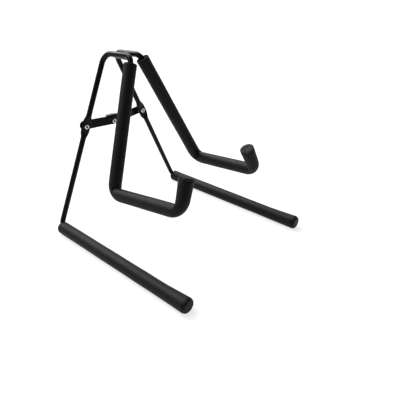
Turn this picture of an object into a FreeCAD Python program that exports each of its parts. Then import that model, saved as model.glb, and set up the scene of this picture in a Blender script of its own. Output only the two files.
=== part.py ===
import FreeCAD, Part
import Sketcher
import math
import os

# Folding ukulele stand: two bent bars with foam sleeves, a top hinge and a folding brace.
# Millimetres and degrees. +X is to the right seen from the front, the hooks point to -Y, +Z is up.
# The origin is on the floor, in the middle of the stand's box.

V = FreeCAD.Vector
LEFT, RIGHT = -1, 1

# Driving sizes
SIZES = [
    # bent bar, measured in its own leaning plane from the foot's front end
    ("rod_diameter", 6.35),
    ("lean_angle", 25.25),
    ("top_spacing", 14.8),
    ("foot_length", 206.0),
    ("leg_height", 215.3),
    ("leg_rake", 1.7),
    ("top_length", 46.2),
    ("top_rise", 2.1),
    ("arm_reach", 28.3),
    ("arm_drop", 149.2),
    ("hook_reach", 97.0),
    ("hook_rise", 12.3),
    ("tip_back", 3.8),
    ("tip_rise", 25.2),
    ("heel_bend", 9.0),
    ("rear_bend", 12.5),
    ("front_bend", 9.5),
    ("arm_bend", 13.5),
    ("tip_bend", 13.5),
    # flattened lug on the rear leg
    ("lug_height", 127.6),
    ("lug_width", 11.6),
    ("lug_length", 28.0),
    ("lug_flat", 12.0),
    ("lug_thickness", 2.4),
    # foam sleeves and their end plugs
    ("arm_sleeve_diameter", 14.8),
    ("tip_swell", 0.7),
    ("foot_sleeve_diameter", 15.2),
    ("foot_swell", 0.8),
    ("foot_swell_length", 26.0),
    ("sleeve_clearance", 0.1),
    ("left_arm_bare", 8.5),
    ("right_arm_bare", 4.5),
    ("heel_bare", 0.4),
    ("foot_flat", 0.4),
    ("hook_stem", 6.0),
    ("left_foot_stem", 4.9),
    ("right_foot_stem", 9.1),
    ("plug_head", 3.0),
    ("plug_inset", 0.4),
    ("foot_round", 2.4),
    ("tip_round", 0.9),
    ("heel_round", 5.0),
    # top hinge
    ("hinge_length", 24.0),
    ("hinge_rear", 9.0),
    ("hinge_drop", 2.4),
    ("knuckle_diameter", 7.0),
    ("knuckle_gap", 0.3),
    ("pin_diameter", 3.2),
    ("pin_clearance", 0.05),
    ("pin_head_diameter", 5.0),
    ("pin_head_length", 1.0),
    ("weld_thickness", 3.0),
    # folding brace
    ("left_bar_width", 11.2),
    ("right_bar_width", 10.1),
    ("left_bar_lug_lift", 0.9),
    ("left_bar_centre_lift", 1.7),
    ("right_bar_lug_lift", 0.0),
    ("right_bar_centre_lift", 0.0),
    ("bar_thickness", 1.6),
    ("bar_play", 0.3),
    ("brace_sag", 4.4),
    ("running_play", 0.1),
    ("washer_thickness", 0.6),
    ("washer_diameter", 8.0),
    ("spacer_diameter", 8.0),
    ("tab_left", 11.5),
    ("tab_right", 6.0),
    ("tab_lift", 0.2),
    ("rivet_diameter", 4.0),
    ("rivet_clearance", 0.08),
    ("rivet_bore", 2.4),
    ("rivet_head_diameter", 5.8),
    ("rivet_head", 1.1),
]

# Places that follow from the sizes
LAYOUT = [
    ("rod_radius", "=sizes.rod_diameter / 2"),
    ("top_rear_y", "=sizes.foot_length - sizes.leg_rake"),
    ("top_front_y", "=top_rear_y - sizes.top_length"),
    ("top_front_z", "=sizes.leg_height + sizes.top_rise"),
    ("arm_y", "=top_front_y - sizes.arm_reach"),
    ("arm_z", "=top_front_z - sizes.arm_drop"),
    ("hook_y", "=arm_y - sizes.hook_reach"),
    ("hook_z", "=arm_z + sizes.hook_rise"),
    ("tip_y", "=hook_y + sizes.tip_back"),
    ("tip_z", "=hook_z + sizes.tip_rise"),
    ("arm_run", "=sqrt(sizes.arm_reach * sizes.arm_reach + sizes.arm_drop * sizes.arm_drop)"),
    ("tip_run", "=sqrt(sizes.tip_back * sizes.tip_back + sizes.tip_rise * sizes.tip_rise)"),
    ("tip_lean", "=atan(sizes.tip_back / sizes.tip_rise)"),
    ("tip_turn", "=90 deg + tip_lean - atan(sizes.hook_rise / sizes.hook_reach)"),
    # sleeves and plugs
    ("bore_diameter", "=sizes.rod_diameter + 2 * sizes.sleeve_clearance"),
    ("left_bare_y", "=top_front_y - sizes.left_arm_bare * sizes.arm_reach / arm_run"),
    ("left_bare_z", "=top_front_z - sizes.left_arm_bare * sizes.arm_drop / arm_run"),
    ("right_bare_y", "=top_front_y - sizes.right_arm_bare * sizes.arm_reach / arm_run"),
    ("right_bare_z", "=top_front_z - sizes.right_arm_bare * sizes.arm_drop / arm_run"),
    ("sleeve_end_y", "=tip_y + sizes.hook_stem * sizes.tip_back / tip_run"),
    ("sleeve_end_z", "=tip_z + sizes.hook_stem * sizes.tip_rise / tip_run"),
    ("tip_straight", "=tip_run + sizes.hook_stem - sizes.tip_bend * tan(tip_turn / 2)"),
    ("sleeve_rear_y", "=sizes.foot_length - sizes.heel_bare"),
    ("left_foot_sleeve_length", "=sleeve_rear_y + sizes.left_foot_stem"),
    ("right_foot_sleeve_length", "=sleeve_rear_y + sizes.right_foot_stem"),
    ("foot_end_radius", "=sizes.foot_sleeve_diameter / 2 + sizes.foot_swell"),
    ("foot_plug_radius", "=foot_end_radius - sizes.plug_inset"),
    ("foot_tube_length", "=sleeve_rear_y - sizes.foot_swell_length"),
    ("tip_plug_radius", "=sizes.arm_sleeve_diameter / 2 + sizes.tip_swell"),
    # lug on the rear leg
    ("lug_bulge", "=sizes.lug_width / 2 - rod_radius"),
    ("lug_curve", "=(sizes.lug_length * sizes.lug_length / 4 + lug_bulge * lug_bulge) / (2 * lug_bulge)"),
    ("rivet_hole", "=sizes.rivet_diameter / 2 + sizes.rivet_clearance"),
    ("lug_y", "=sizes.foot_length - sizes.leg_rake * sizes.lug_height / sizes.leg_height"),
    ("lean_sin", "=sin(sizes.lean_angle * 1 deg)"),
    ("lean_cos", "=cos(sizes.lean_angle * 1 deg)"),
    ("foot_x", "=sizes.top_spacing / 2 + sizes.leg_height * lean_sin"),
    ("foot_z", "=sizes.foot_sleeve_diameter / 2 - sizes.foot_flat"),
    # top hinge, level with the middle of the straight top run
    ("hinge_back_y", "=top_rear_y - sizes.hinge_rear"),
    ("hinge_mid_y", "=hinge_back_y - sizes.hinge_length / 2"),
    ("top_slope", "=sizes.top_rise / sizes.top_length"),
    ("run_mid_z", "=sizes.leg_height + (top_rear_y - hinge_mid_y) * top_slope"),
    ("run_mid_x", "=foot_x - run_mid_z * lean_sin"),
    ("run_mid_height", "=foot_z + run_mid_z * lean_cos"),
    ("hinge_height", "=run_mid_height - sizes.hinge_drop"),
    ("weld_length", "=sqrt(run_mid_x * run_mid_x + sizes.hinge_drop * sizes.hinge_drop)"),
    ("pin_hole", "=sizes.pin_diameter / 2 + sizes.pin_clearance"),
    ("knuckle_length", "=(sizes.hinge_length - 2 * sizes.knuckle_gap) / 3"),
    ("knuckle_pitch", "=knuckle_length + sizes.knuckle_gap"),
    # folding brace, from the lugs to the centre rivet
    ("lug_x", "=foot_x - sizes.lug_height * lean_sin"),
    ("lug_up", "=foot_z + sizes.lug_height * lean_cos"),
    ("bar_length", "=sqrt(lug_x * lug_x + sizes.brace_sag * sizes.brace_sag)"),
    ("left_bar_drop", "=sizes.brace_sag + sizes.left_bar_lug_lift - sizes.left_bar_centre_lift"),
    ("right_bar_drop", "=sizes.brace_sag + sizes.right_bar_lug_lift - sizes.right_bar_centre_lift"),
    ("left_strip_length", "=sqrt(lug_x * lug_x + left_bar_drop * left_bar_drop)"),
    ("right_strip_length", "=sqrt(lug_x * lug_x + right_bar_drop * right_bar_drop)"),
    ("lug_rear_y", "=lug_y + sizes.lug_thickness / 2"),
    ("left_bar_y", "=lug_y + rod_radius + sizes.bar_play"),
    ("left_bar_rear_y", "=left_bar_y + sizes.bar_thickness"),
    ("right_bar_y", "=left_bar_rear_y + sizes.washer_thickness + sizes.running_play"),
    ("right_bar_rear_y", "=right_bar_y + sizes.bar_thickness"),
    ("left_seat_y", "=left_bar_y - sizes.running_play"),
    ("right_seat_y", "=right_bar_y - sizes.running_play"),
    ("lug_rivet_front", "=lug_y - sizes.lug_thickness / 2 - sizes.rivet_head"),
    ("left_rivet_rear", "=left_bar_rear_y + sizes.running_play + sizes.rivet_head"),
    ("centre_rivet_front", "=left_bar_y - sizes.rivet_head"),
    ("centre_rivet_rear", "=right_bar_rear_y + sizes.running_play + sizes.rivet_head"),
    ("tail_rear", "=right_bar_rear_y + sizes.rivet_head"),
    ("tab_length", "=sizes.tab_left + sizes.tab_right"),
    ("tab_height", "=sizes.left_bar_width / 2 + sizes.tab_lift + sizes.bar_thickness"),
    ("tab_depth", "=right_bar_rear_y - left_bar_y + sizes.bar_play"),
    # middle of the box, from the longer foot's plug to the rearmost piece
    ("front_y", "=0 - max(sizes.left_foot_stem; sizes.right_foot_stem) - sizes.plug_head"),
    ("rear_y", "=max(centre_rivet_rear; sizes.foot_length + rod_radius; sleeve_rear_y)"),
    ("middle_y", "=(rear_y + front_y) / 2"),
]

doc = FreeCAD.newDocument("ukulele_stand")


def fill_sheet(name, rows):
    sheet = doc.addObject("Spreadsheet::Sheet", name)
    for row, (alias, content) in enumerate(rows, start=1):
        sheet.set(f"A{row}", alias)
        sheet.set(f"B{row}", str(content))
        sheet.setAlias(f"B{row}", alias)
    doc.recompute()
    return sheet


sizes = fill_sheet("sizes", SIZES)
layout = fill_sheet("layout", LAYOUT)
SIZE_NAMES = {alias for alias, _ in SIZES}
pieces = []


def name_of(alias):
    """The alias with the sheet that holds it, for an expression."""
    return f"sizes.{alias}" if alias in SIZE_NAMES else f"layout.{alias}"


def value(alias):
    held = sizes.get(alias) if alias in SIZE_NAMES else layout.get(alias)
    return float(getattr(held, "Value", held))


def bind(thing, **amounts):
    """Give a solid its sizes: a formula is bound to the sheets, a number is set."""
    for prop, amount in amounts.items():
        if isinstance(amount, str):
            thing.setExpression(prop, amount)
        else:
            setattr(thing, prop, amount)


def keep(thing, label, placement=None):
    """Name a finished sub-part and, where it is built in another frame, place it."""
    thing.Label = label
    if placement is not None:
        thing.Placement = placement
    pieces.append(thing)
    return thing


def half_placement(side):
    """From a half's own plane, standing up from its foot's front end, to the leaning half."""
    base = V(side * value("foot_x"), -value("middle_y"), value("foot_z"))
    return FreeCAD.Placement(base, FreeCAD.Rotation(V(0, 1, 0), -side * value("lean_angle")))


# Bent bars: a path of straight runs and tangent arcs, and a round section along it


def origin_plane(body, role):
    return next(f for f in body.Origin.OriginFeatures if f.Role == role)


def fix_point(sketch, element, y, z):
    """Hold a sketch point at (y, z), each an alias, or None for zero."""
    for kind, axis, alias in (("DistanceX", -2, y), ("DistanceY", -1, z)):
        if alias is None:
            sketch.addConstraint(Sketcher.Constraint("PointOnObject", element, 1, axis))
        else:
            rule = Sketcher.Constraint(kind, -1, 1, element, 1, value(alias))
            sketch.setExpression(f"Constraints[{sketch.addConstraint(rule)}]", name_of(alias))


def bend_path(body, name, corners, bends):
    """Runs through corners, given as (y, z) aliases, with a bend radius alias at each inner one."""
    sketch = body.newObject("Sketcher::SketchObject", name)
    sketch.AttachmentSupport = [(origin_plane(body, "YZ_Plane"), "")]
    sketch.MapMode = "FlatFace"
    points = [V(value(y) if y else 0, value(z) if z else 0, 0) for y, z in corners]
    ends = [[a, b] for a, b in zip(points, points[1:])]
    arcs = []
    for i, bend in enumerate(bends, start=1):
        into = (points[i] - points[i - 1]).normalize()
        out = (points[i + 1] - points[i]).normalize()
        half_turn = into.getAngle(out) / 2
        reach = value(bend) * math.tan(half_turn)
        start, end = points[i] - into * reach, points[i] + out * reach
        inward = (out - into).normalize()
        middle = points[i] + inward * value(bend) * (1 / math.cos(half_turn) - 1)
        arcs.append(Part.Arc(start, middle, end))
        ends[i - 1][1], ends[i][0] = start, end
    lines = [sketch.addGeometry(Part.LineSegment(a, b), False) for a, b in ends]
    curves = [sketch.addGeometry(arc, False) for arc in arcs]
    for i, (y, z) in enumerate(corners):
        corner = sketch.addGeometry(Part.Point(points[i]), True)
        fix_point(sketch, corner, y, z)
        if i == 0:
            sketch.addConstraint(Sketcher.Constraint("Coincident", lines[0], 1, corner, 1))
        elif i == len(lines):
            sketch.addConstraint(Sketcher.Constraint("Coincident", lines[-1], 2, corner, 1))
        else:
            sketch.addConstraint(Sketcher.Constraint("PointOnObject", corner, 1, lines[i - 1]))
            sketch.addConstraint(Sketcher.Constraint("PointOnObject", corner, 1, lines[i]))
    for i, bend in enumerate(bends):
        first = 1 if sketch.getPoint(curves[i], 1).distanceToPoint(ends[i][1]) < 1e-4 else 2
        sketch.addConstraint(Sketcher.Constraint("Tangent", lines[i], 2, curves[i], first))
        sketch.addConstraint(Sketcher.Constraint("Tangent", curves[i], 3 - first, lines[i + 1], 1))
        rule = Sketcher.Constraint("Radius", curves[i], value(bend))
        sketch.setExpression(f"Constraints[{sketch.addConstraint(rule)}]", name_of(bend))
    doc.recompute()
    return sketch


def round_bar(name, corners, bends, diameter):
    """A bent round bar of a diameter formula, as a body of its own."""
    body = doc.addObject("PartDesign::Body", name)
    path = bend_path(body, name + "_path", corners, bends)
    ring = body.newObject("Sketcher::SketchObject", name + "_ring")
    ring.AttachmentSupport = [(path, "Edge1")]
    ring.MapMode = "NormalToEdge"
    circle = ring.addGeometry(Part.Circle(V(), V(0, 0, 1), value("rod_radius")), False)
    ring.addConstraint(Sketcher.Constraint("Coincident", circle, 3, -1, 1))
    rule = Sketcher.Constraint("Diameter", circle, value("rod_diameter"))
    ring.setExpression(f"Constraints[{ring.addConstraint(rule)}]", diameter)
    doc.recompute()
    pipe = body.newObject("PartDesign::AdditivePipe", name + "_pipe")
    pipe.Profile = ring
    pipe.Spine = path
    doc.recompute()
    return body


# Simple solids and how they are joined


def turned(angle, x, y, z):
    """Place a solid with its axis turned from +Z about X by an angle."""
    return FreeCAD.Placement(V(x, y, z), FreeCAD.Rotation(V(1, 0, 0), angle))


def rearward(x, y, z):
    """Place a round solid with its axis towards the rear."""
    return turned(-90, x, y, z)


def forward(x, y, z):
    """Place a round solid with its axis towards the front."""
    return turned(90, x, y, z)


def cylinder(radius, height, placement):
    solid = doc.addObject("Part::Cylinder", "cylinder")
    bind(solid, Radius=radius, Height=height)
    solid.Placement = placement
    return solid


def box(length, width, height, placement):
    solid = doc.addObject("Part::Box", "box")
    bind(solid, Length=length, Width=width, Height=height)
    solid.Placement = placement
    return solid


def at(x, y, z):
    return FreeCAD.Placement(V(x, y, z), FreeCAD.Rotation())


def fuse(*solids):
    joined = doc.addObject("Part::MultiFuse", "fuse")
    joined.Shapes = list(solids)
    return joined


def cut(base, *tools):
    for tool in tools:
        result = doc.addObject("Part::Cut", "cut")
        result.Base, result.Tool = base, tool
        base = result
    return base


def rounded_end(solid, height, radius):
    """Round the rim of a cylinder's end at its own height."""
    doc.recompute()
    frame = solid.Placement.inverse()
    smooth = doc.addObject("Part::Fillet", "fillet")
    smooth.Base = solid
    for number, edge in enumerate(solid.Shape.Edges, start=1):
        if edge.isClosed() and abs(frame.multVec(edge.CenterOfMass).z - height) < 1e-6:
            smooth.Edges = [(number, radius, radius)]
    return smooth


# Frame bars

ROD_CORNERS = [
    (None, None),
    ("foot_length", None),
    ("top_rear_y", "leg_height"),
    ("top_front_y", "top_front_z"),
    ("arm_y", "arm_z"),
    ("hook_y", "hook_z"),
    ("tip_y", "tip_z"),
]
ROD_BENDS = ["heel_bend", "rear_bend", "front_bend", "arm_bend", "tip_bend"]


def lug_ramp(facing):
    """What the press takes off one face of the leg: flat at the lug, running out at both ends."""
    ramp = doc.addObject("Part::Wedge", "ramp")
    bind(
        ramp,
        Xmin="-sizes.rod_diameter", Xmax="sizes.rod_diameter",
        X2min="-sizes.rod_diameter", X2max="sizes.rod_diameter",
        Ymin="sizes.lug_thickness / 2", Ymax="sizes.rod_diameter",
        Zmin="-sizes.lug_flat / 2", Zmax="sizes.lug_flat / 2",
        Z2min="-sizes.lug_length", Z2max="sizes.lug_length",
    )
    turn = FreeCAD.Rotation(V(0, 0, 1), 0 if facing > 0 else 180)
    ramp.Placement = FreeCAD.Placement(V(0, value("lug_y"), value("lug_height")), turn)
    return ramp


def lug_plate():
    """The flattened leg's outline, between two large arcs."""
    reach = value("lug_curve") - value("lug_width") / 2
    start = value("lug_y") - value("lug_thickness") / 2
    sides = [
        cylinder("layout.lug_curve", "sizes.lug_thickness", rearward(x, start, value("lug_height")))
        for x in (-reach, reach)
    ]
    lens = doc.addObject("Part::MultiCommon", "lens")
    lens.Shapes = sides
    return lens


def frame_rod(side, label):
    bar = round_bar(label + "_bar", ROD_CORNERS, ROD_BENDS, "sizes.rod_diameter")
    hole = cylinder(
        "layout.rivet_hole", "sizes.rod_diameter * 2",
        rearward(0, value("lug_y") - value("rod_diameter"), value("lug_height")),
    )
    pressed = cut(bar, lug_ramp(1), lug_ramp(-1))
    return keep(cut(fuse(pressed, lug_plate()), hole), label, half_placement(side))


# Foam sleeves and plugs


def bore(label, stem, placement):
    """The space that a bent bar and the stem of its plug take up in a sleeve."""
    bar = round_bar(label + "_bore", ROD_CORNERS, ROD_BENDS, "layout.bore_diameter")
    return fuse(bar, cylinder("layout.bore_diameter / 2", f"sizes.{stem}", placement))


def tip_placement(past):
    """On the hook's tip, a distance past the end of the bar, pointing on along the tip."""
    place = turned(-value("tip_lean"), 0, value("tip_y"), value("tip_z"))
    return place.multiply(at(0, 0, past))


def arm_sleeve(side, label, bare):
    corners = [(bare + "_y", bare + "_z")] + ROD_CORNERS[4:6] + [("sleeve_end_y", "sleeve_end_z")]
    tube = round_bar(label + "_tube", corners, ROD_BENDS[3:], "sizes.arm_sleeve_diameter")
    swell = doc.addObject("Part::Cone", "swell")
    bind(
        swell,
        Radius1="sizes.arm_sleeve_diameter / 2",
        Radius2="sizes.arm_sleeve_diameter / 2 + sizes.tip_swell",
        Height="layout.tip_straight",
    )
    swell.Placement = tip_placement(value("hook_stem") - value("tip_straight"))
    foam = cut(fuse(tube, swell), bore(label, "hook_stem", tip_placement(0)))
    return keep(foam, label, half_placement(side))


def upward(side, amount):
    """A move straight up from the floor, in the leaning half's own plane."""
    lean = side * math.radians(value("lean_angle"))
    return at(amount * math.sin(lean), 0, amount * math.cos(lean))


def ring_edge(radius, placement):
    edge = doc.addObject("Part::Circle", "ring_edge")
    bind(edge, Radius=radius)
    edge.Placement = placement
    return edge


def swollen_end(side, name):
    """The front of a foot sleeve, which the plug swells while its underside stays on the floor."""
    start = forward(0, value("foot_swell_length"), 0)
    end = upward(side, value("foot_swell")).multiply(forward(0, -value(f"{name}_foot_stem"), 0))
    swell = doc.addObject("Part::Loft", "swell")
    swell.Sections = [
        ring_edge("sizes.foot_sleeve_diameter / 2", start),
        ring_edge("layout.foot_end_radius", end),
    ]
    swell.Solid = True
    swell.Ruled = True
    return swell


def floor_cut(side, name):
    """A block below the floor, in the leaning half's own plane, along the whole foot sleeve."""
    width = value("foot_sleeve_diameter")
    level = FreeCAD.Placement(V(), FreeCAD.Rotation(V(0, 1, 0), side * value("lean_angle")))
    corner = at(-width / 2, -value(f"{name}_foot_stem"), -value("foot_z") - width)
    return box(
        "sizes.foot_sleeve_diameter", f"layout.{name}_foot_sleeve_length", "sizes.foot_sleeve_diameter",
        level.multiply(corner),
    )


def foot_sleeve(side, name):
    """A tube over the foot, cut flat on the floor, with the bar coming out of its rear end."""
    label = f"{name}_foot_sleeve"
    place = forward(0, value("sleeve_rear_y"), 0)
    tube = cylinder("sizes.foot_sleeve_diameter / 2", "layout.foot_tube_length", place)
    foam = fuse(rounded_end(tube, 0, value("heel_round")), swollen_end(side, name))
    foam = cut(foam, bore(label, f"{name}_foot_stem", forward(0, 0, 0)), floor_cut(side, name))
    return keep(foam, label, half_placement(side))


def plug(side, label, stem, placement, lift, head_radius, rim):
    """A closed foam end: a stem in the sleeve's bore and a rounded head, lifted with the sleeve's end."""
    shank = cylinder("layout.rod_radius", f"sizes.{stem}", placement)
    over = upward(side, lift).multiply(placement).multiply(at(0, 0, value(stem)))
    head = rounded_end(cylinder(head_radius, "sizes.plug_head", over), value("plug_head"), value(rim))
    return keep(fuse(shank, head), label, half_placement(side))


# Top hinge


def hinge_placement(y):
    return rearward(0, y - value("middle_y"), value("hinge_height"))


def knuckle(side, number, rod):
    """One knuckle, counted from the front, with the weld that carries it on its bar."""
    y = value("hinge_back_y") - value("hinge_length") + number * value("knuckle_pitch")
    barrel = cylinder("sizes.knuckle_diameter / 2", "layout.knuckle_length", hinge_placement(y))
    tilt = math.degrees(math.atan2(value("hinge_drop"), value("run_mid_x")))
    aim = FreeCAD.Rotation(V(0, 0, 1), 0 if side > 0 else 180)
    aim = FreeCAD.Rotation(V(0, 1, 0), -side * tilt).multiply(aim)
    middle = V(0, y - value("middle_y") + value("knuckle_length") / 2, value("hinge_height"))
    inset = at(0, -value("knuckle_length") / 2, -value("weld_thickness") / 2)
    weld = box(
        "layout.weld_length", "layout.knuckle_length", "sizes.weld_thickness",
        FreeCAD.Placement(middle, aim).multiply(inset),
    )
    hole = cylinder("layout.pin_hole", "layout.knuckle_length", hinge_placement(y))
    return cut(fuse(barrel, weld), hole, rod)


def hinge_pin():
    front = value("hinge_back_y") - value("hinge_length")
    shank = cylinder("sizes.pin_diameter / 2", "sizes.hinge_length", hinge_placement(front))
    heads = [
        cylinder("sizes.pin_head_diameter / 2", "sizes.pin_head_length", hinge_placement(y))
        for y in (front - value("pin_head_length"), value("hinge_back_y"))
    ]
    return keep(fuse(shank, *heads), "hinge_pin")


# Folding brace


def lug_axis(side, y):
    return rearward(side * value("lug_x"), y - value("middle_y"), value("lug_up"))


def centre_axis(y):
    return rearward(0, y - value("middle_y"), value("lug_up") - value("brace_sag"))


def bar_placement(side, name, y):
    """Over the centre rivet, with X to the right along the middle of the bar."""
    slope = -side * math.degrees(math.atan(value(f"{name}_bar_drop") / value("lug_x")))
    height = value("lug_up") - value("brace_sag") + value(f"{name}_bar_centre_lift")
    base = V(0, y - value("middle_y"), height)
    return FreeCAD.Placement(base, FreeCAD.Rotation(V(0, 1, 0), slope))


def brace_bar(side, name, y):
    place = bar_placement(side, name, y)
    width, length = f"sizes.{name}_bar_width", f"layout.{name}_strip_length"
    ends = [0, side * value(f"{name}_strip_length")]
    corner = at(min(ends), 0, -value(f"{name}_bar_width") / 2)
    solids = [box(length, "sizes.bar_thickness", width, place.multiply(corner))]
    for x in ends:
        solids.append(cylinder(f"{width} / 2", "sizes.bar_thickness", place.multiply(rearward(x, 0, 0))))
    holes = [
        cylinder("layout.rivet_hole", "sizes.bar_thickness", axis)
        for axis in (centre_axis(y), lug_axis(side, y))
    ]
    if side == LEFT:
        solids += stop_tab(place)
    return keep(cut(fuse(*solids), *holes), f"{name}_brace_bar")


def stop_tab(place):
    """A lip on the left bar's top edge, bent back over the right bar, that stops the brace open."""
    start = place.multiply(at(-value("tab_left"), 0, 0))
    rise = box("layout.tab_length", "sizes.bar_thickness", "layout.tab_height", start)
    over = start.multiply(at(0, 0, value("left_bar_width") / 2 + value("tab_lift")))
    lip = box("layout.tab_length", "layout.tab_depth", "sizes.bar_thickness", over)
    return [rise, lip]


def rivet(label, axis, front, rear, heads):
    """A tubular rivet between two aliases, with a head on each end that heads names."""
    length = f"layout.{rear} - layout.{front}"
    solids = [cylinder("sizes.rivet_diameter / 2", length, axis(value(front)))]
    starts = {"front": value(front), "rear": value(rear) - value("rivet_head")}
    for end in heads:
        place = axis(starts[end])
        solids.append(cylinder("sizes.rivet_head_diameter / 2", "sizes.rivet_head", place))
    hole = cylinder("sizes.rivet_bore / 2", length, axis(value(front)))
    return keep(cut(fuse(*solids), hole), label)


def ring(label, diameter, axis, front, rear):
    """A spacer or washer round a rivet, between two aliases."""
    length = f"layout.{rear} - layout.{front}"
    body = cylinder(f"sizes.{diameter} / 2", length, axis(value(front)))
    return keep(cut(body, cylinder("layout.rivet_hole", length, axis(value(front)))), label)


def left_lug_axis(y):
    return lug_axis(LEFT, y)


def right_lug_axis(y):
    return lug_axis(RIGHT, y)


# The two halves
rods = {}
for side, name in ((LEFT, "left"), (RIGHT, "right")):
    rods[side] = frame_rod(side, f"{name}_rod")
    arm_sleeve(side, f"{name}_arm_sleeve", f"{name}_bare")
    foot_sleeve(side, name)
    foot_front, tip_end = forward(0, 0, 0), tip_placement(0)
    foot_stem, lift = f"{name}_foot_stem", value("foot_swell")
    plug(side, f"{name}_foot_plug", foot_stem, foot_front, lift, "layout.foot_plug_radius", "foot_round")
    plug(side, f"{name}_hook_plug", "hook_stem", tip_end, 0, "layout.tip_plug_radius", "tip_round")

# The hinge: two knuckles on the left bar, one between them on the right bar
doc.recompute()
keep(fuse(knuckle(LEFT, 0, rods[LEFT]), knuckle(LEFT, 2, rods[LEFT])), "left_knuckles")
keep(knuckle(RIGHT, 1, rods[RIGHT]), "right_knuckle")
hinge_pin()

# The brace, its spacers and its rivets
brace_bar(LEFT, "left", value("left_bar_y"))
brace_bar(RIGHT, "right", value("right_bar_y"))
ring("left_spacer", "spacer_diameter", left_lug_axis, "lug_rear_y", "left_seat_y")
ring("right_spacer", "spacer_diameter", right_lug_axis, "lug_rear_y", "right_seat_y")
ring("centre_washer", "washer_diameter", centre_axis, "left_bar_rear_y", "right_seat_y")
rivet("left_lug_rivet", left_lug_axis, "lug_rivet_front", "left_rivet_rear", ["front", "rear"])
rivet("centre_rivet", centre_axis, "centre_rivet_front", "centre_rivet_rear", ["front", "rear"])
rivet("right_lug_rivet", right_lug_axis, "lug_rivet_front", "right_seat_y", ["front"])
rivet("right_rivet_tail", right_lug_axis, "right_bar_y", "tail_rear", ["rear"])

doc.recompute()
for thing in doc.Objects:
    if "Invalid" in thing.State or "Error" in thing.State:
        raise RuntimeError(f"{thing.Name} ({thing.Label}) failed: {thing.State}")
for piece in pieces:
    if piece.Shape.isNull() or not piece.Shape.isValid():
        raise RuntimeError(f"{piece.Label} has no valid shape")

os.makedirs("parts", exist_ok=True)
for piece in pieces:
    piece.Shape.exportStep(f"parts/{piece.Label}.step")
    print(f"{piece.Label:20s} {len(piece.Shape.Solids)} solid, {piece.Shape.Volume:9.1f} mm3")
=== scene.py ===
import cmath
import math

import bmesh
import bpy
from mathutils import Matrix, Vector, noise


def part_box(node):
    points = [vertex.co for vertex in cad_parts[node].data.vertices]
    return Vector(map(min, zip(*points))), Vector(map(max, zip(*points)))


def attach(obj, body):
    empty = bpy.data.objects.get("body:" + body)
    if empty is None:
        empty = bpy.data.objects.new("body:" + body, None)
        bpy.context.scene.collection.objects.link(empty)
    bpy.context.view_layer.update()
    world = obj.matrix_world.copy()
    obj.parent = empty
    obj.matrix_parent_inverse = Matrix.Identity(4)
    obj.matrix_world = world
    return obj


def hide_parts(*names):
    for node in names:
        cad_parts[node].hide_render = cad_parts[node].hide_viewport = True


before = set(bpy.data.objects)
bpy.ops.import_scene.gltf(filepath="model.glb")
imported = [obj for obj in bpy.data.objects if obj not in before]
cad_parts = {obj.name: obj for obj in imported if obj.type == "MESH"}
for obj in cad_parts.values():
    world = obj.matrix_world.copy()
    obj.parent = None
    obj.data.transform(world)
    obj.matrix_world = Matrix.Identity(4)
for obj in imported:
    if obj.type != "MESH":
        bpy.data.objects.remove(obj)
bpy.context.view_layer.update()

# Folding ukulele stand: bent black bars, foam sleeves, a top hinge and a riveted brace.
# Sizes are in millimetres and become metres where a point enters a mesh.
MM = 0.001
LEFT, RIGHT = -1, 1
SIDES = {LEFT: "left", RIGHT: "right"}

# Bent bar in its own leaning plane, from the foot's front end
LEAN = math.radians(25.25)
ROD_RADIUS = 3.175
FOOT_LENGTH = 206.0
LEG_HEIGHT, LEG_RAKE = 215.3, 1.7
TOP_LENGTH, TOP_RISE = 46.2, 2.1
ARM_REACH, ARM_DROP = 28.3, 149.2
HOOK_REACH, HOOK_RISE = 97.0, 12.3
TIP_BACK, TIP_RISE = 3.8, 25.2
HEEL_BEND, REAR_BEND, FRONT_BEND, ARM_BEND, TIP_BEND = 9.0, 12.5, 9.5, 13.5, 13.5

# Pressed lug on the rear leg
LUG_HEIGHT = 127.6
LUG_HALF_LENGTH, LUG_HALF_FLAT = 14.5, 5.5
LUG_HALF_WIDTH, LUG_HALF_THICKNESS = 5.8, 1.2
LUG_SQUARENESS = 4.5

# Foam
ARM_FOAM_RADIUS = 7.4
TIP_SWELL = 0.7
FOOT_FOAM_RADIUS = 7.6
FOOT_SWELL, FOOT_SWELL_LENGTH = 0.8, 26.0
BORE_RADIUS = 3.275
ARM_BARE = {LEFT: 8.5, RIGHT: 4.5}
HEEL_BARE = 0.4
FOOT_STEM = {LEFT: 4.9, RIGHT: 9.1}
HOOK_STEM, PLUG_HEAD, STEM_SHOWN = 6.0, 3.0, 2.0
FOOT_PLUG_RADIUS, FOOT_PLUG_ROUND = 8.0, 2.4
TIP_PLUG_RADIUS, TIP_PLUG_ROUND = 8.1, 0.9
CREASE_RADIUS, CREASE_SPREAD = 1.2, 1.6
CREASE_DEPTH, CREASE_PITCH = 0.55, 7.0
FOAM_WAVE, FOAM_WAVE_LENGTH = 0.14, 24.0
FOAM_WAVE_ROUND, FOAM_WAVE_APART = 9.0, 40.0
OPEN_RIM, SEAM_RIM, HEEL_RIM = 0.5, 0.3, 5.0
MOUTH_FLARE, MOUTH_START, MOUTH_RISE = 2.3, 1.0, 7.0
BORE_TOP = 30.0

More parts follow.
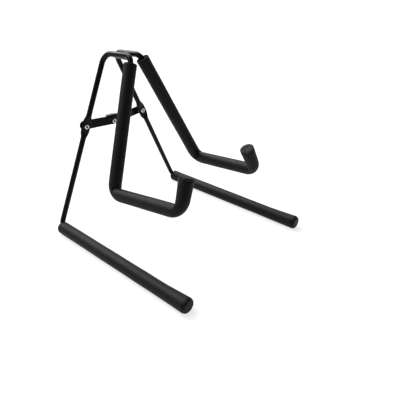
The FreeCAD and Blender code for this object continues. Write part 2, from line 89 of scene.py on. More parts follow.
# Brace bars and rivets
BAR_HALF_WIDTH = {LEFT: 5.6, RIGHT: 5.05}
BAR_LUG_LIFT, BAR_CENTRE_LIFT = {LEFT: 0.9, RIGHT: 0.0}, {LEFT: 1.7, RIGHT: 0.0}
BAR_THICKNESS, BAR_EASE = 1.6, 0.35
RIVET_HOLE, HOLE_PAST = 2.08, 1.0
TAB_LEFT, TAB_RIGHT, TAB_TOP, TAB_DEPTH = 11.5, 6.0, 7.4, 4.2
TAB_ROOT, TAB_BEND, TAB_CORNER = 3.0, 1.3, 3.0
TAB_STATIONS = (0.0, 0.15, 0.5, 1.0, 1.6, 2.3, TAB_CORNER)
RIVET_SHANK, RIVET_BORE, RIVET_HEAD, RIVET_CUT = 2.0, 1.2, 1.1, 0.1

# Mesh fineness: sides and steps, angles in degrees, rings of a flat end as shares of its radius
ROD_SIDES, FOAM_SIDES, TURNED_SIDES = 32, 56, 40
ROD_STEPS = [8, 110, 6, 10, 8, 3]
SLEEVE_STEPS = [44, 30, 8]
BORE_STEPS = [6, 6]
WALL_STEPS, ARC_STEPS, ROUND_STEPS, EYELET_STEPS, TAB_STEPS = 70, 14, 6, 12, 24
RIM_TURN, HEEL_START, SHARP_ANGLE = 80, 10, 50
HEEL_RINGS, PLUG_RINGS = (0.85, 0.5, 0.15), (0.75, 0.5, 0.25)
MERGE_REACH = 0.002

# Camera at the photograph's viewing angle
CAMERA_PLACE = Vector((-307.05, -298.14, 282.45)) * MM
CAMERA_AZIMUTH = math.radians(-49.612)
CAMERA_ELEVATION = math.radians(29.378)
CAMERA_ROLL = math.radians(0.365)
CAMERA_LENS, CAMERA_NEAR = 36.13, 0.01

# Floor and light, in metres and scene-linear brightness
WHITE = (1, 1, 1, 1)
FLOOR_HALF, FLOOR_GREY = 40.0, 0.3
FLOOR_GLOW, FLOOR_BOUNCE = 0.74, 0.66
DOME_AXIS = (0.0, 0.62, 0.785)
DOME_EDGE, DOME_DIM, DOME_BRIGHT = 0.75, 0.2, 4.5
DOME_TINT = (0.95, 0.957, 1.0, 1.0)
STAND_MIDDLE = Vector((0, 0, 0.1))
SOFTBOXES = {
    "top_softbox": {"spot": (-0.03, 0.45, 0.65), "width": 0.5, "radiance": 5.5},
    "rear_softbox": {"spot": (1.05, 0.9, 0.85), "width": 0.8, "radiance": 3.0},
    "left_softbox": {"spot": (-1.2, 0.35, 0.45), "width": 1.0, "radiance": 0.7},
}


# The half's own plane: a point is a complex number, rearwards plus up times i


def plane_origin(side):
    """Where the bar's foot begins, from the foot sleeve and its plug in the frame."""
    name = SIDES[side]
    low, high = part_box(f"{name}_foot_sleeve")
    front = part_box(f"{name}_foot_plug")[0].y
    lift = high.z - (FOOT_FOAM_RADIUS + 2 * FOOT_SWELL) * MM
    return Vector(((low.x + high.x) / 2, front + (FOOT_STEM[side] + PLUG_HEAD) * MM, lift))


ORIGINS = {side: plane_origin(side) for side in SIDES}


def place(side, point, across=0.0):
    """The point of a half's plane, moved across it, in the stand's frame in metres."""
    outward = Vector((math.cos(LEAN), 0, side * math.sin(LEAN)))
    up = Vector((-side * math.sin(LEAN), 0, math.cos(LEAN)))
    return ORIGINS[side] + (outward * across + Vector((0, 1, 0)) * point.real + up * point.imag) * MM


HEEL = complex(FOOT_LENGTH, 0)
TOP_REAR = HEEL + complex(-LEG_RAKE, LEG_HEIGHT)
TOP_FRONT = TOP_REAR + complex(-TOP_LENGTH, TOP_RISE)
ARM_CORNER = TOP_FRONT + complex(-ARM_REACH, -ARM_DROP)
HOOK_CORNER = ARM_CORNER + complex(-HOOK_REACH, HOOK_RISE)
TIP = HOOK_CORNER + complex(TIP_BACK, TIP_RISE)


def unit(vector):
    """A vector of the plane, made one long."""
    return vector / abs(vector)


ARM_HEADING = unit(ARM_CORNER - TOP_FRONT)
TIP_HEADING = unit(TIP - HOOK_CORNER)
# A heading no further than this from the tip's belongs to the tip
TIP_HEADING_REACH = 0.5


def bent_line(corners, radii, run_steps):
    """Points and headings along straight runs and the arcs between them, in a fixed number of steps."""
    samples = []
    start = corners[0]
    for i, steps in enumerate(run_steps):
        heading = unit(corners[i + 1] - corners[i])
        end = corners[i + 1]
        bends = i + 1 < len(run_steps)
        if bends:
            turn = cmath.phase(unit(corners[i + 2] - corners[i + 1]) / heading)
            end -= heading * radii[i] * math.tan(abs(turn) / 2)
        samples += [(start + (end - start) * k / steps, heading) for k in range(steps)]
        start = end
        if bends:
            spoke = heading * radii[i] * math.copysign(1, turn) * 1j
            for k in range(ARC_STEPS):
                swing = cmath.exp(1j * turn * k / ARC_STEPS)
                samples.append((end + spoke - spoke * swing, heading * swing))
            start = end + spoke - spoke * cmath.exp(1j * turn)
    samples.append((corners[-1], heading))
    return samples


# Meshes


def smooth_step(share):
    """A share held between 0 and 1 and eased at both ends."""
    share = min(max(share, 0.0), 1.0)
    return share * share * (3 - 2 * share)


def circle(sides):
    """Cosine and sine of every corner of a round outline."""
    angles = [2 * math.pi * j / sides for j in range(sides)]
    return [(math.cos(angle), math.sin(angle)) for angle in angles]


def skin(name, rings, joined=False):
    """A closed mesh over rings of points: its ends are joined to each other, or capped."""
    sides = len(rings[0])
    points = [point for ring in rings for point in ring]
    count = len(rings)
    faces = []
    for i in range(count if joined else count - 1):
        for j in range(sides):
            a, b = i * sides + j, i * sides + (j + 1) % sides
            c, d = ((i + 1) % count) * sides + (j + 1) % sides, ((i + 1) % count) * sides + j
            faces.append((a, b, c, d))
    if not joined:
        faces.append(tuple(reversed(range(sides))))
        faces.append(tuple(range((count - 1) * sides, count * sides)))
    mesh = bpy.data.meshes.new(name)
    mesh.from_pydata(points, [], faces)
    return finished(name, mesh)


def finished(name, mesh):
    """A piece from a cleaned mesh, with normals outwards and smooth faces between sharp edges."""
    work = bmesh.new()
    work.from_mesh(mesh)
    bmesh.ops.remove_doubles(work, verts=work.verts, dist=MERGE_REACH * MM)
    dividing = [point for point in work.verts if len(point.link_edges) == 2]
    bmesh.ops.dissolve_verts(work, verts=dividing)
    bmesh.ops.recalc_face_normals(work, faces=work.faces)
    work.to_mesh(mesh)
    work.free()
    mesh.polygons.foreach_set("use_smooth", [True] * len(mesh.polygons))
    mesh.set_sharp_from_angle(angle=math.radians(SHARP_ANGLE))
    piece = bpy.data.objects.new(name, mesh)
    bpy.context.scene.collection.objects.link(piece)
    return piece


def turned(name, profile, frame_matrix, joined=False):
    """A turned solid: (along, radius) pairs about the matrix's Z axis."""
    rings = []
    for along, radius in profile:
        ring = [Vector((radius * cosine, radius * sine, along)) for cosine, sine in circle(TURNED_SIDES)]
        rings.append([frame_matrix @ (point * MM) for point in ring])
    return skin(name, rings, joined)


def quarter_round(centre_along, centre_radius, radius, start, end):
    """An arc of a turned profile, by angle from the axis direction."""
    arc = []
    for k in range(ROUND_STEPS + 1):
        angle = math.radians(start + (end - start) * k / ROUND_STEPS)
        arc.append((centre_along + radius * math.cos(angle), centre_radius + radius * math.sin(angle)))
    return arc


def axis_matrix(origin, direction):
    """A frame at a point whose Z axis lies in a direction."""
    return Matrix.Translation(origin) @ direction.to_track_quat("Z", "Y").to_matrix().to_4x4()


def combined(piece, tool, operation):
    """Cut one mesh by another or join them, and drop the tool."""
    joiner = piece.modifiers.new("combine", "BOOLEAN")
    joiner.operation = operation
    joiner.solver = "EXACT"
    joiner.object = tool
    bpy.context.view_layer.update()
    result = bpy.data.meshes.new_from_object(piece.evaluated_get(bpy.context.evaluated_depsgraph_get()))
    name = piece.name
    bpy.data.objects.remove(piece)
    bpy.data.objects.remove(tool)
    result.name = name
    return finished(name, result)


# Bent bars


def lug_press(point):
    """How far the press has flattened the leg at a point, from 0 to 1."""
    away = abs(point.imag - LUG_HEIGHT)
    on_leg = point.real > TOP_REAR.real - ROD_RADIUS
    return smooth_step((LUG_HALF_LENGTH - away) / (LUG_HALF_LENGTH - LUG_HALF_FLAT)) if on_leg else 0.0


def squared(amount, power):
    """A cosine or sine pushed outwards, so that a round outline gets squarer."""
    return math.copysign(abs(amount) ** (2 / power), amount)


def bar_ring(side, point, heading, radius):
    """The bar's section at a point: round, and flat where the press has been."""
    press = lug_press(point)
    thick = radius + (LUG_HALF_THICKNESS - ROD_RADIUS) * press
    wide = radius + (LUG_HALF_WIDTH - ROD_RADIUS) * press
    power = 2 + (LUG_SQUARENESS - 2) * press
    return [
        place(side, point + 1j * heading * thick * squared(cosine, power), wide * squared(sine, power))
        for cosine, sine in circle(ROD_SIDES)
    ]


ROD_CORNERS = [0j, HEEL, TOP_REAR, TOP_FRONT, ARM_CORNER, HOOK_CORNER, TIP]
ROD_BENDS = [HEEL_BEND, REAR_BEND, FRONT_BEND, ARM_BEND, TIP_BEND]


def bent_bar(side):
    """One bar from the foot's front end to the hook's tip."""
    name = SIDES[side]
    line = bent_line(ROD_CORNERS, ROD_BENDS, ROD_STEPS)
    bar = skin(f"{name}_bent_bar", [bar_ring(side, point, heading, ROD_RADIUS) for point, heading in line])
    dress(bar, f"{name}_half", "black_paint", f"{name}_rod")


# Foam sleeves


def foam_bend(bend, inward, radius):
    """Bend radius of one line of a foam tube: tight in the crease, wide round the outside."""
    if inward <= 0:
        return bend - inward
    return bend + (CREASE_RADIUS - bend) * smooth_step(CREASE_SPREAD * inward / radius)


def tube_rings(corners, bends, radius, creased):
    """Rings of a tube that bends to its right: each point with its heading, cosine and sine."""
    lines = []
    normals = [-1j * unit(end - start) for start, end in zip(corners, corners[1:])]
    for cosine, sine in circle(FOAM_SIDES):
        inward = radius * cosine
        moved = [corners[0] + inward * normals[0]]
        for corner, before, after in zip(corners[1:-1], normals, normals[1:]):
            moved.append(corner + inward * (before + after) / (1 + (before * after.conjugate()).real))
        moved.append(corners[-1] + inward * normals[-1])
        radii = [foam_bend(bend, inward, radius) if creased else bend - inward for bend in bends]
        line = bent_line(moved, radii, SLEEVE_STEPS)
        lines.append([(point, heading, cosine, sine) for point, heading in line])
    return [list(ring) for ring in zip(*lines)]


def foam_bulge(side, point, sine):
    """Slow waviness of a soft tube's surface, in millimetres, which differs between the halves."""
    where = Vector((point.real, point.imag, FOAM_WAVE_ROUND * sine + FOAM_WAVE_APART * side))
    return FOAM_WAVE * noise.noise(where / FOAM_WAVE_LENGTH)


def crease_fold(point, corner, cosine):
    """Small folds that gather on the inside of a bend."""
    away = abs(point - corner)
    inside = max(0.0, cosine) ** 2
    wave = math.cos(2 * math.pi * away / CREASE_PITCH)
    return -CREASE_DEPTH * inside * wave * math.exp(-((away / CREASE_PITCH) ** 2))


def bend_offset(point):
    """How far the bar, still in its front bend, lies off the arm's straight line near a sleeve's top."""
    turn = cmath.phase(ARM_HEADING / unit(TOP_FRONT - TOP_REAR))
    along = ((point - TOP_FRONT) * ARM_HEADING.conjugate()).real
    short = max(0.0, FRONT_BEND * math.tan(turn / 2) - along)
    return 1j * ARM_HEADING * (FRONT_BEND - math.sqrt(FRONT_BEND ** 2 - short ** 2))


def arm_foam(side):
    """Foam tube over arm, hook and tip, open round the bar at its top."""
    name = SIDES[side]
    top = TOP_FRONT + ARM_HEADING * ARM_BARE[side]
    end = TIP + TIP_HEADING * HOOK_STEM
    corners = [top, ARM_CORNER, HOOK_CORNER, end]
    bends = [ARM_BEND, TIP_BEND]
    outer = tube_rings(corners, bends, ARM_FOAM_RADIUS, creased=True)
    inner = tube_rings(corners, bends, BORE_RADIUS, creased=False)
    inner_corners = [
        corner + ARM_FOAM_RADIUS * inside for corner, inside in (
            (ARM_CORNER, unit(-ARM_HEADING + unit(HOOK_CORNER - ARM_CORNER))),
            (HOOK_CORNER, unit(unit(ARM_CORNER - HOOK_CORNER) + TIP_HEADING)),
        )
    ]
    swell_start = HOOK_CORNER + TIP_HEADING * TIP_BEND
    swell_length = abs(end - swell_start)
    rings = rim_rings(side, top, -ARM_HEADING, ARM_FOAM_RADIUS, OPEN_RIM, leaving=False)
    for ring in outer[1:-1]:
        points = []
        for point, heading, cosine, sine in ring:
            bulge = foam_bulge(side, point, sine)
            bulge += sum(crease_fold(point, corner, cosine) for corner in inner_corners)
            along_tip = ((point - swell_start) * TIP_HEADING.conjugate()).real / swell_length
            if abs(heading - TIP_HEADING) < TIP_HEADING_REACH:
                bulge += TIP_SWELL * min(max(along_tip, 0.0), 1.0)
            moved = point - 1j * heading * cosine * bulge
            points.append(place(side, moved, sine * (ARM_FOAM_RADIUS + bulge)))
        rings.append(points)
    rings += rim_rings(side, end, TIP_HEADING, ARM_FOAM_RADIUS + TIP_SWELL, SEAM_RIM, leaving=True)
    for ring in reversed(inner):
        rings.append([
            place(side, point + bend_offset(point), sine * BORE_RADIUS)
            for point, _, _, sine in ring
        ])
    foam = skin(f"{name}_arm_foam", rings, joined=True)
    dress(foam, f"{name}_half", "foam", f"{name}_arm_sleeve")
    # The sleeve's open top end takes a darker foam as painted shade
    foam.data.materials.append(MATERIALS["painted_shade_end_foam"])
    for face in foam.data.polygons[-FOAM_SIDES:]:
        face.material_index = 1


def rim_rings(side, end, outward, radius, rim, leaving):
    """The rounded outer edge of a tube's end, from the end face to the wall or back."""
    rings = []
    inner_side = -1j * outward if leaving else 1j * outward
    for along, reach in quarter_round(-rim, radius - rim, rim, 0, RIM_TURN):
        centre = end + outward * along
        rings.append([
            place(side, centre + inner_side * reach * cosine, reach * sine)
            for cosine, sine in circle(FOAM_SIDES)
        ])
    return list(reversed(rings)) if leaving else rings


def mouth_radius(point):
    """The foot foam's bore, which the leg opens wider where it comes out."""
    return BORE_RADIUS + MOUTH_FLARE * smooth_step((point.imag - MOUTH_START) / MOUTH_RISE)


def foot_swell(along, front):
    """How far the plug has swelled the foot foam at a place along it."""
    share = (FOOT_SWELL_LENGTH - along) / (FOOT_SWELL_LENGTH - front)
    return FOOT_SWELL * min(max(share, 0.0), 1.0)


def foot_foam(side):
    """Foam tube over the foot, closed and rounded behind the heel, where the leg comes out of its top."""
    name = SIDES[side]
    front, rear = -FOOT_STEM[side], FOOT_LENGTH - HEEL_BARE
    profile = [(front, FOOT_FOAM_RADIUS - 2 * SEAM_RIM)]
    profile += [
        (front + SEAM_RIM * (1 - math.sin(angle)), FOOT_FOAM_RADIUS - SEAM_RIM * (1 - math.cos(angle)))
        for angle in (math.pi / 2, math.pi / 4, 0.0)
    ]
    wall_start, wall_end = front + 2 * SEAM_RIM, rear - HEEL_RIM
    profile += [
        (wall_start + (wall_end - wall_start) * k / WALL_STEPS, FOOT_FOAM_RADIUS) for k in range(WALL_STEPS)
    ]
    profile += reversed(quarter_round(wall_end, FOOT_FOAM_RADIUS - HEEL_RIM, HEEL_RIM, HEEL_START, 90))
    profile += [(rear, (FOOT_FOAM_RADIUS - HEEL_RIM) * share) for share in HEEL_RINGS]
    rings = []
    for along, radius in profile:
        ring = []
        swell = foot_swell(along, front)
        for cosine, sine in circle(FOAM_SIDES):
            point = complex(along, radius * cosine)
            reach = radius + swell + foam_bulge(side, point, sine)
            spot = place(side, complex(along, reach * cosine), reach * sine)
            # The floor presses the underside flat
            spot.z = max(spot.z + swell * MM, 0.0)
            ring.append(spot)
        rings.append(ring)
    foam = skin(f"{name}_foot_foam", rings)
    corners = [complex(front - PLUG_HEAD, 0), HEEL, HEEL + 1j * BORE_TOP]
    line = bent_line(corners, [HEEL_BEND], BORE_STEPS)
    tool = skin("bore", [bar_ring(side, point, heading, mouth_radius(point)) for point, heading in line])
    foam = combined(foam, tool, "DIFFERENCE")
    dress(foam, f"{name}_half", "foam", f"{name}_foot_sleeve")


def plug(side, kind, seat, heading, stem, lift, radius, rim, finish):
    """A closed foam end: a head over the sleeve's end, lifted with it, with a short stem in the bore."""
    name = SIDES[side]
    face = stem + PLUG_HEAD
    profile = [(stem - STEM_SHOWN, ROD_RADIUS - lift), (stem, ROD_RADIUS - lift)]
    profile += [(stem, radius - SEAM_RIM), (stem + SEAM_RIM, radius)]
    profile += list(reversed(quarter_round(face - rim, radius - rim, rim, 0, 90)))
    profile += [(face, (radius - rim) * share) for share in PLUG_RINGS]
    direction = place(side, seat + heading) - place(side, seat)
    root = place(side, seat) + Vector((0, 0, lift * MM))
    cap = turned(f"{name}_{kind}_cap", profile, axis_matrix(root, direction))
    dress(cap, f"{name}_half", "foam", f"{name}_{kind}_plug", finish)


# Rivets


def eyelet_head(seat, outward, radius, bore, height):
    """A rolled rivet head, from its seat round to its bore."""
    crest = (radius + bore) / 2
    half = (radius - bore) / 2
    angles = [math.pi * k / EYELET_STEPS for k in range(EYELET_STEPS + 1)]
    return [(seat + outward * height * math.sin(angle), crest + half * math.cos(angle)) for angle in angles]


def eyelet(name, node, body, front_head, rear_head):
    """A tubular rivet in its node's box, with a rolled head at each end that has one."""
    low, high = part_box(node)
    middle = (low + high) / 2
    radius = (high.x - low.x) / 2 / MM
    length = (high.y - low.y) / MM
    profile = []
    if front_head:
        profile += list(reversed(eyelet_head(RIVET_HEAD, -1, radius, RIVET_BORE, RIVET_HEAD)))
    else:
        profile += [(0.0, RIVET_BORE), (0.0, RIVET_SHANK)]
    if rear_head:
        seat = length - RIVET_HEAD
        profile += [(RIVET_HEAD if front_head else RIVET_CUT, RIVET_SHANK), (seat, RIVET_SHANK)]
        profile += eyelet_head(seat, 1, radius, RIVET_BORE, RIVET_HEAD)
    else:
        profile += [(RIVET_HEAD, RIVET_SHANK), (length, RIVET_SHANK), (length, RIVET_BORE)]
    axis = axis_matrix(Vector((middle.x, low.y, middle.z)), Vector((0, 1, 0)))
    piece = turned(name, profile, axis, joined=True)
    dress(piece, body, "bright_steel", node)


# Brace bars


def rivet_axis(node):
    """The front end of a rivet's axis, from its node's box."""
    low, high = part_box(node)
    return Vector(((low.x + high.x) / 2, low.y, (low.z + high.z) / 2))


def strap_ring(start, end, depth, radius):
    """The bar's outline, round at both ends, at a depth into the sheet."""
    half = TURNED_SIDES // 2
    points = []
    for middle, begin in ((end, 0.0), (start, math.pi)):
        for k in range(half + 1):
            angle = begin + math.pi * k / half
            points.append(Vector((middle + radius * math.sin(angle), depth, radius * math.cos(angle))) * MM)
    return points


def tab_loss(x):
    """How much of the tab's bent length its rounded corners take at a place along the bar."""
    from_end = min(x + TAB_LEFT, TAB_RIGHT - x)
    short = max(0.0, TAB_CORNER - from_end)
    return TAB_CORNER - math.sqrt(TAB_CORNER ** 2 - short ** 2)


def tab_point(run, offset):
    """A point of the tab's section: up the bar's face, round the bend and back over the other bar."""
    quarter = TAB_BEND * math.pi / 2
    middle = BAR_THICKNESS / 2
    centre_z = TAB_TOP - middle - TAB_BEND
    rise = centre_z - TAB_ROOT
    if run < rise:
        return middle - offset, TAB_ROOT + run
    turn = min((run - rise) / TAB_BEND, math.pi / 2)
    past = max(0.0, run - rise - quarter)
    reach = TAB_BEND + offset
    return middle + TAB_BEND - reach * math.cos(turn) + past, centre_z + reach * math.sin(turn)


def stop_tab(frame_matrix):
    """The bent lip on the left bar's top edge that meets the right bar when the stand is open."""
    length = (TAB_TOP - BAR_THICKNESS / 2 - TAB_BEND - TAB_ROOT) + TAB_BEND * math.pi / 2
    length += TAB_DEPTH - BAR_THICKNESS / 2 - TAB_BEND
    places = [x - TAB_LEFT for x in TAB_STATIONS] + [TAB_RIGHT - x for x in reversed(TAB_STATIONS)]
    rings = []
    for x in places:
        runs = [(length - tab_loss(x)) * k / TAB_STEPS for k in range(TAB_STEPS + 1)]
        front = [tab_point(run, BAR_THICKNESS / 2) for run in runs]
        rear = [tab_point(run, -BAR_THICKNESS / 2) for run in reversed(runs)]
        rings.append([frame_matrix @ (Vector((x, y, z)) * MM) for y, z in front + rear])
    return skin("tab", rings)


def paint_tab_highlight(strap, frame_matrix):
    """Painted highlight: a light grey on the stop tab's upward faces, standing for the light that falls on
    them from above.
    """
    strap.data.materials.append(MATERIALS["tab_painted_highlight"])
    to_bar = frame_matrix.inverted()
    for face in strap.data.polygons:
        on_tab = (to_bar @ face.center).z > BAR_HALF_WIDTH[LEFT] * MM
        # Faces of the tab that point up take the painted highlight
        if on_tab and face.normal.z > HIGHLIGHT_UPWARD:
            face.material_index = 1


def brace_strap(side):
    """A flat brace bar with eased edges and two rivet holes; the left one carries the stop tab."""
    name = SIDES[side]
    node = f"{name}_brace_bar"
    axes = [rivet_axis("centre_rivet"), rivet_axis(f"{name}_lug_rivet")]
    inner = axes[0] + Vector((0, 0, BAR_CENTRE_LIFT[side] * MM))
    outer = axes[1] + Vector((0, 0, BAR_LUG_LIFT[side] * MM))
    span = Vector((outer.x - inner.x, 0, outer.z - inner.z))
    along = span.normalized() * side
    rear = Vector((0, 1, 0))
    turn = Matrix((along, rear, along.cross(rear))).transposed().to_4x4()
    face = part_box(node)[0].y
    frame_matrix = Matrix.Translation(Vector((inner.x, face, inner.z))) @ turn
    ends = sorted((0.0, side * span.length / MM))
    slant = BAR_EASE * (1 - math.sqrt(0.5))
    edge = [(0.0, BAR_EASE), (slant, slant), (BAR_EASE, 0.0)]
    edge += [(BAR_THICKNESS - depth, inset) for depth, inset in reversed(edge)]
    rings = []
    for depth, inset in edge:
        outline = strap_ring(*ends, depth, BAR_HALF_WIDTH[side] - inset)
        rings.append([frame_matrix @ point for point in outline])
    strap = skin(f"{name}_strap", rings)
    if side == LEFT:
        strap = combined(strap, stop_tab(frame_matrix), "UNION")
    for axis in axes:
        start = axis_matrix(Vector((axis.x, face, axis.z)), rear)
        drill = [(-HOLE_PAST, RIVET_HOLE), (BAR_THICKNESS + HOLE_PAST, RIVET_HOLE)]
        hole = turned("hole", drill, start)
        strap = combined(strap, hole, "DIFFERENCE")
    dress(strap, f"brace_{name}", "black_paint", node)
    # The left bar's stop tab gets its painted highlight on its upward faces
    if side == LEFT:
        paint_tab_highlight(strap, frame_matrix)


# Materials: texture scales are per metre, depths in millimetres, a span is where a ramp starts and stops
MIDDLE_SPAN = (0.3, 0.7)
FOAMS = {
    "black_foam": {
        "ends": ((0.0011, 0.0011, 0.0012), (0.0028, 0.0028, 0.003)),
        "grain_scale": 700, "specular": 0.17, "relief": 0.38,
    },
    "cut_foam": {
        "ends": ((0.0005, 0.0005, 0.0006), (0.045, 0.045, 0.047)),
        "grain_scale": 340, "specular": 0.04, "relief": 0.8,
    },
    # Painted shade: the sleeve's cut top end, made darker than the rest of the foam to stand for the face
    # lying unlit
    "painted_shade_end_foam": {
        "ends": ((0.0003, 0.0003, 0.0003), (0.0015, 0.0015, 0.0016)),
        "grain_scale": 340, "specular": 0.01, "relief": 0.8,
    },
}
FOAM_ROUGHNESS = (0.48, 0.62)
BLOOM_SCALE, BLOOM_DETAIL, BLOOM_SPAN = 600, 6, (0.4, 0.62)
GRAIN_DETAIL, GRAIN_DEPTH = 4, 0.35
PORE_SCALE, PORE_DEPTH = 1300, 0.25
PAINTS = {
    "satin_black_paint": ((0.001, 0.001, 0.0011), (0.002, 0.002, 0.0022)),
    # Painted highlight: the light grey of the stop tab's upward faces, standing for light from above
    "tab_painted_highlight": ((0.13, 0.133, 0.127), (0.3, 0.306, 0.294)),
}
PAINT_ROUGHNESS, PAINT_SPECULAR = (0.22, 0.34), 0.12
MOTTLE_SCALE, MOTTLE_DETAIL = 90, 5
PEEL_SCALE, PEEL_DETAIL, PEEL_RELIEF, PEEL_DEPTH = 900, 2, 0.18, 0.08
# Painted highlight on the tab: how far up a face must point to take it
HIGHLIGHT_UPWARD = 0.4
STEEL_ENDS = ((0.75, 0.74, 0.72), (0.92, 0.91, 0.89))
STEEL_ROUGHNESS = (0.2, 0.36)
MARK_SCALE, MARK_DETAIL = 1500, 6
# Painted shade in the steel's recesses: ambient occlusion reach, the span of its ramp and the shades it
# multiplies the colour by
RECESS_REACH, RECESS_SPAN, RECESS_SHADES = 2.5, (0.45, 0.8), (0.01, 1.0)


def new_material(name):
    """A node material, with its nodes and links."""
    material = bpy.data.materials.new(name)
    material.use_nodes = True
    return material, material.node_tree.nodes, material.node_tree.links


def noise_texture(nodes, links, coordinates, scale, detail):
    """Noise over the piece's own coordinates."""
    texture = nodes.new("ShaderNodeTexNoise")
    texture.inputs["Scale"].default_value = scale
    texture.inputs["Detail"].default_value = detail
    links.new(coordinates.outputs["Object"], texture.inputs["Vector"])
    return texture


def greys(levels):
    """Neutral colours of some levels."""
    return [(level, level, level) for level in levels]


def ramp(nodes, links, source, span, ends):
    """A colour between two ends, picked by where a value lies in a span."""
    picker = nodes.new("ShaderNodeValToRGB")
    for element, position, colour in zip(picker.color_ramp.elements, span, ends):
        element.position = position
        element.color = (*colour, 1.0)
    links.new(source, picker.inputs["Fac"])
    return picker


def bump(nodes, links, height, strength, distance, below=None):
    """Relief from a height, on top of another relief where there is one."""
    relief = nodes.new("ShaderNodeBump")
    relief.inputs["Strength"].default_value = strength
    relief.inputs["Distance"].default_value = distance * MM
    links.new(height, relief.inputs["Height"])
    if below is not None:
        links.new(below.outputs["Normal"], relief.inputs["Normal"])
    return relief


def foam_material(name):
    """Black foam with a grain, fine pores and a grey bloom."""
    kind = FOAMS[name]
    material, nodes, links = new_material(name)
    shader = nodes["Principled BSDF"]
    where = nodes.new("ShaderNodeTexCoord")
    bloom = noise_texture(nodes, links, where, BLOOM_SCALE, BLOOM_DETAIL)
    tint = ramp(nodes, links, bloom.outputs["Fac"], BLOOM_SPAN, kind["ends"])
    links.new(tint.outputs["Color"], shader.inputs["Base Color"])
    pores = nodes.new("ShaderNodeTexVoronoi")
    pores.inputs["Scale"].default_value = PORE_SCALE
    links.new(where.outputs["Object"], pores.inputs["Vector"])
    grain = noise_texture(nodes, links, where, kind["grain_scale"], GRAIN_DETAIL)
    coarse = bump(nodes, links, grain.outputs["Fac"], kind["relief"], GRAIN_DEPTH)
    fine = bump(nodes, links, pores.outputs["Distance"], kind["relief"], PORE_DEPTH, coarse)
    links.new(fine.outputs["Normal"], shader.inputs["Normal"])
    matte = ramp(nodes, links, grain.outputs["Fac"], MIDDLE_SPAN, greys(FOAM_ROUGHNESS))
    links.new(matte.outputs["Color"], shader.inputs["Roughness"])
    shader.inputs["Specular IOR Level"].default_value = kind["specular"]
    return material


def paint_material(name):
    """Satin paint with a faint orange-peel surface."""
    material, nodes, links = new_material(name)
    shader = nodes["Principled BSDF"]
    where = nodes.new("ShaderNodeTexCoord")
    mottle = noise_texture(nodes, links, where, MOTTLE_SCALE, MOTTLE_DETAIL)
    tint = ramp(nodes, links, mottle.outputs["Fac"], MIDDLE_SPAN, PAINTS[name])
    links.new(tint.outputs["Color"], shader.inputs["Base Color"])
    peel = noise_texture(nodes, links, where, PEEL_SCALE, PEEL_DETAIL)
    skin_relief = bump(nodes, links, peel.outputs["Fac"], PEEL_RELIEF, PEEL_DEPTH)
    links.new(skin_relief.outputs["Normal"], shader.inputs["Normal"])
    gloss = ramp(nodes, links, mottle.outputs["Fac"], MIDDLE_SPAN, greys(PAINT_ROUGHNESS))
    links.new(gloss.outputs["Color"], shader.inputs["Roughness"])
    shader.inputs["Specular IOR Level"].default_value = PAINT_SPECULAR
    return material


def steel_material():
    """Bright plated steel with fine handling marks, and painted shade that darkens its colour in recesses
    by ambient occlusion.
    """
    material, nodes, links = new_material("bright_steel")
    shader = nodes["Principled BSDF"]
    where = nodes.new("ShaderNodeTexCoord")
    marks = noise_texture(nodes, links, where, MARK_SCALE, MARK_DETAIL)
    tint = ramp(nodes, links, marks.outputs["Fac"], MIDDLE_SPAN, STEEL_ENDS)
    # Painted shade: ambient occlusion darkens the base colour in bores and against seats
    openness = nodes.new("ShaderNodeAmbientOcclusion")
    openness.inputs["Distance"].default_value = RECESS_REACH * MM
    recess_painted_shade = ramp(nodes, links, openness.outputs["AO"], RECESS_SPAN, greys(RECESS_SHADES))
    shade_darkened = nodes.new("ShaderNodeMix")
    shade_darkened.data_type = "RGBA"
    shade_darkened.blend_type = "MULTIPLY"
    shade_darkened.inputs["Factor"].default_value = 1.0
    links.new(tint.outputs["Color"], shade_darkened.inputs["A"])
    links.new(recess_painted_shade.outputs["Color"], shade_darkened.inputs["B"])
    links.new(shade_darkened.outputs["Result"], shader.inputs["Base Color"])
    gloss = ramp(nodes, links, marks.outputs["Fac"], MIDDLE_SPAN, greys(STEEL_ROUGHNESS))
    links.new(gloss.outputs["Color"], shader.inputs["Roughness"])
    shader.inputs["Metallic"].default_value = 1.0
    return material


MATERIALS = {
    "foam": foam_material("black_foam"),
    "cut_foam": foam_material("cut_foam"),
    "painted_shade_end_foam": foam_material("painted_shade_end_foam"),
    "black_paint": paint_material("satin_black_paint"),
    # Painted highlight material for the stop tab's top
    "tab_painted_highlight": paint_material("tab_painted_highlight"),
    "bright_steel": steel_material(),
}


def dress(piece, body, slot, node, finish=None):
    """Give a modelled piece its finish and its body, and hide the node that it stands for."""
    piece.data.materials.clear()
    piece.data.materials.append(MATERIALS[finish or slot])
    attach(piece, body)
    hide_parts(node)


# The two halves
for side in SIDES:
    bent_bar(side)
    arm_foam(side)
    foot_foam(side)
    plug(
        side, "foot", 0j, -1 + 0j, stem=FOOT_STEM[side], lift=FOOT_SWELL,
        radius=FOOT_PLUG_RADIUS, rim=FOOT_PLUG_ROUND, finish="foam",
    )
    plug(
        side, "hook", TIP, TIP_HEADING, stem=HOOK_STEM, lift=0.0,
        radius=TIP_PLUG_RADIUS, rim=TIP_PLUG_ROUND, finish="cut_foam",
    )

# The brace and its rivets
brace_strap(LEFT)
brace_strap(RIGHT)
eyelet("left_lug_eyelet", "left_lug_rivet", "left_half", front_head=True, rear_head=True)
eyelet("centre_eyelet", "centre_rivet", "brace_left", front_head=True, rear_head=True)
eyelet("right_lug_eyelet", "right_lug_rivet", "right_half", front_head=True, rear_head=False)
eyelet("right_eyelet_tail", "right_rivet_tail", "brace_right", front_head=False, rear_head=True)

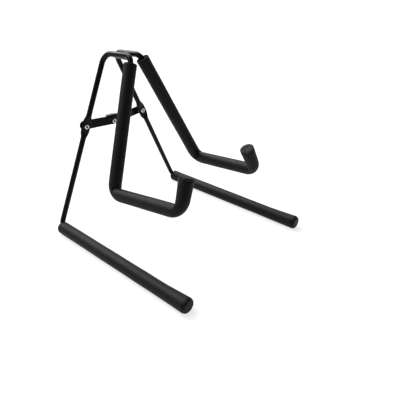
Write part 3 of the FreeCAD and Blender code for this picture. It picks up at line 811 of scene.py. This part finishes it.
# Carried-over solids
CARRIED = {
    "left_knuckles": "black_paint", "right_knuckle": "black_paint", "hinge_pin": "bright_steel",
    "left_spacer": "bright_steel", "right_spacer": "bright_steel", "centre_washer": "bright_steel",
}
for node_name, slot in CARRIED.items():
    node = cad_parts[node_name]
    node.data.materials.clear()
    node.data.materials.append(MATERIALS[slot])

# Floor, light and camera


def floor():
    """A pale floor, white in the picture, that throws a softer light back at the stand."""
    corners = [(x * FLOOR_HALF, y * FLOOR_HALF, 0) for x, y in ((-1, -1), (1, -1), (1, 1), (-1, 1))]
    mesh = bpy.data.meshes.new("floor")
    mesh.from_pydata(corners, [], [(0, 1, 2, 3)])
    ground = bpy.data.objects.new("floor", mesh)
    bpy.context.scene.collection.objects.link(ground)
    material, nodes, links = new_material("pale_floor")
    shader = nodes["Principled BSDF"]
    shader.inputs["Base Color"].default_value = (FLOOR_GREY, FLOOR_GREY, FLOOR_GREY, 1)
    shader.inputs["Roughness"].default_value = 1.0
    shader.inputs["Specular IOR Level"].default_value = 0.0
    shader.inputs["Emission Color"].default_value = WHITE
    path = nodes.new("ShaderNodeLightPath")
    glow = nodes.new("ShaderNodeMapRange")
    glow.inputs["To Min"].default_value = FLOOR_BOUNCE
    glow.inputs["To Max"].default_value = FLOOR_GLOW
    links.new(path.outputs["Is Camera Ray"], glow.inputs["Value"])
    links.new(glow.outputs["Result"], shader.inputs["Emission Strength"])
    mesh.materials.append(material)


def softbox(name, spot, width, radiance):
    """A square lamp of an even brightness that faces the stand."""
    data = bpy.data.lights.new(name, "AREA")
    data.shape = "SQUARE"
    data.size = width
    data.energy = radiance * math.pi * width * width
    lamp = bpy.data.objects.new(name, data)
    lamp.location = spot
    lamp.rotation_euler = (STAND_MIDDLE - Vector(spot)).to_track_quat("-Z", "Y").to_euler()
    lamp.visible_camera = False
    bpy.context.scene.collection.objects.link(lamp)


def dome():
    """A white studio that is bright high behind the stand and dim elsewhere, with a white backdrop."""
    world = bpy.data.worlds.new("studio")
    world.use_nodes = True
    nodes, links = world.node_tree.nodes, world.node_tree.links
    where = nodes.new("ShaderNodeTexCoord")
    towards = nodes.new("ShaderNodeVectorMath")
    towards.operation = "DOT_PRODUCT"
    towards.inputs[1].default_value = DOME_AXIS
    links.new(where.outputs["Generated"], towards.inputs[0])
    height = nodes.new("ShaderNodeMapRange")
    height.interpolation_type = "SMOOTHSTEP"
    height.inputs["From Min"].default_value = DOME_EDGE
    height.inputs["To Min"].default_value = DOME_DIM
    height.inputs["To Max"].default_value = DOME_BRIGHT
    links.new(towards.outputs["Value"], height.inputs["Value"])
    overhead = nodes["Background"]
    links.new(height.outputs["Result"], overhead.inputs["Strength"])
    overhead.inputs["Color"].default_value = DOME_TINT
    backdrop = nodes.new("ShaderNodeBackground")
    backdrop.inputs["Color"].default_value = WHITE
    path = nodes.new("ShaderNodeLightPath")
    seen = nodes.new("ShaderNodeMixShader")
    links.new(path.outputs["Is Camera Ray"], seen.inputs["Fac"])
    links.new(overhead.outputs["Background"], seen.inputs[1])
    links.new(backdrop.outputs["Background"], seen.inputs[2])
    links.new(seen.outputs["Shader"], nodes["World Output"].inputs["Surface"])
    bpy.context.scene.world = world


def studio():
    """All the light, shown without a film look."""
    dome()
    for name, lamp in SOFTBOXES.items():
        softbox(name, **lamp)
    bpy.context.scene.view_settings.view_transform = "Standard"


def camera():
    """The camera where the photograph was taken from."""
    data = bpy.data.cameras.new("camera")
    data.lens = CAMERA_LENS
    data.clip_start = CAMERA_NEAR
    eye = bpy.data.objects.new("camera", data)
    level = math.cos(CAMERA_ELEVATION)
    back = Vector((
        math.sin(CAMERA_AZIMUTH) * level, -math.cos(CAMERA_AZIMUTH) * level, math.sin(CAMERA_ELEVATION),
    ))
    aim = (-back).to_track_quat("-Z", "Y").to_matrix().to_4x4()
    eye.matrix_world = Matrix.Translation(CAMERA_PLACE) @ aim @ Matrix.Rotation(CAMERA_ROLL, 4, "Z")
    bpy.context.scene.collection.objects.link(eye)
    bpy.context.scene.camera = eye


floor()
studio()
camera()
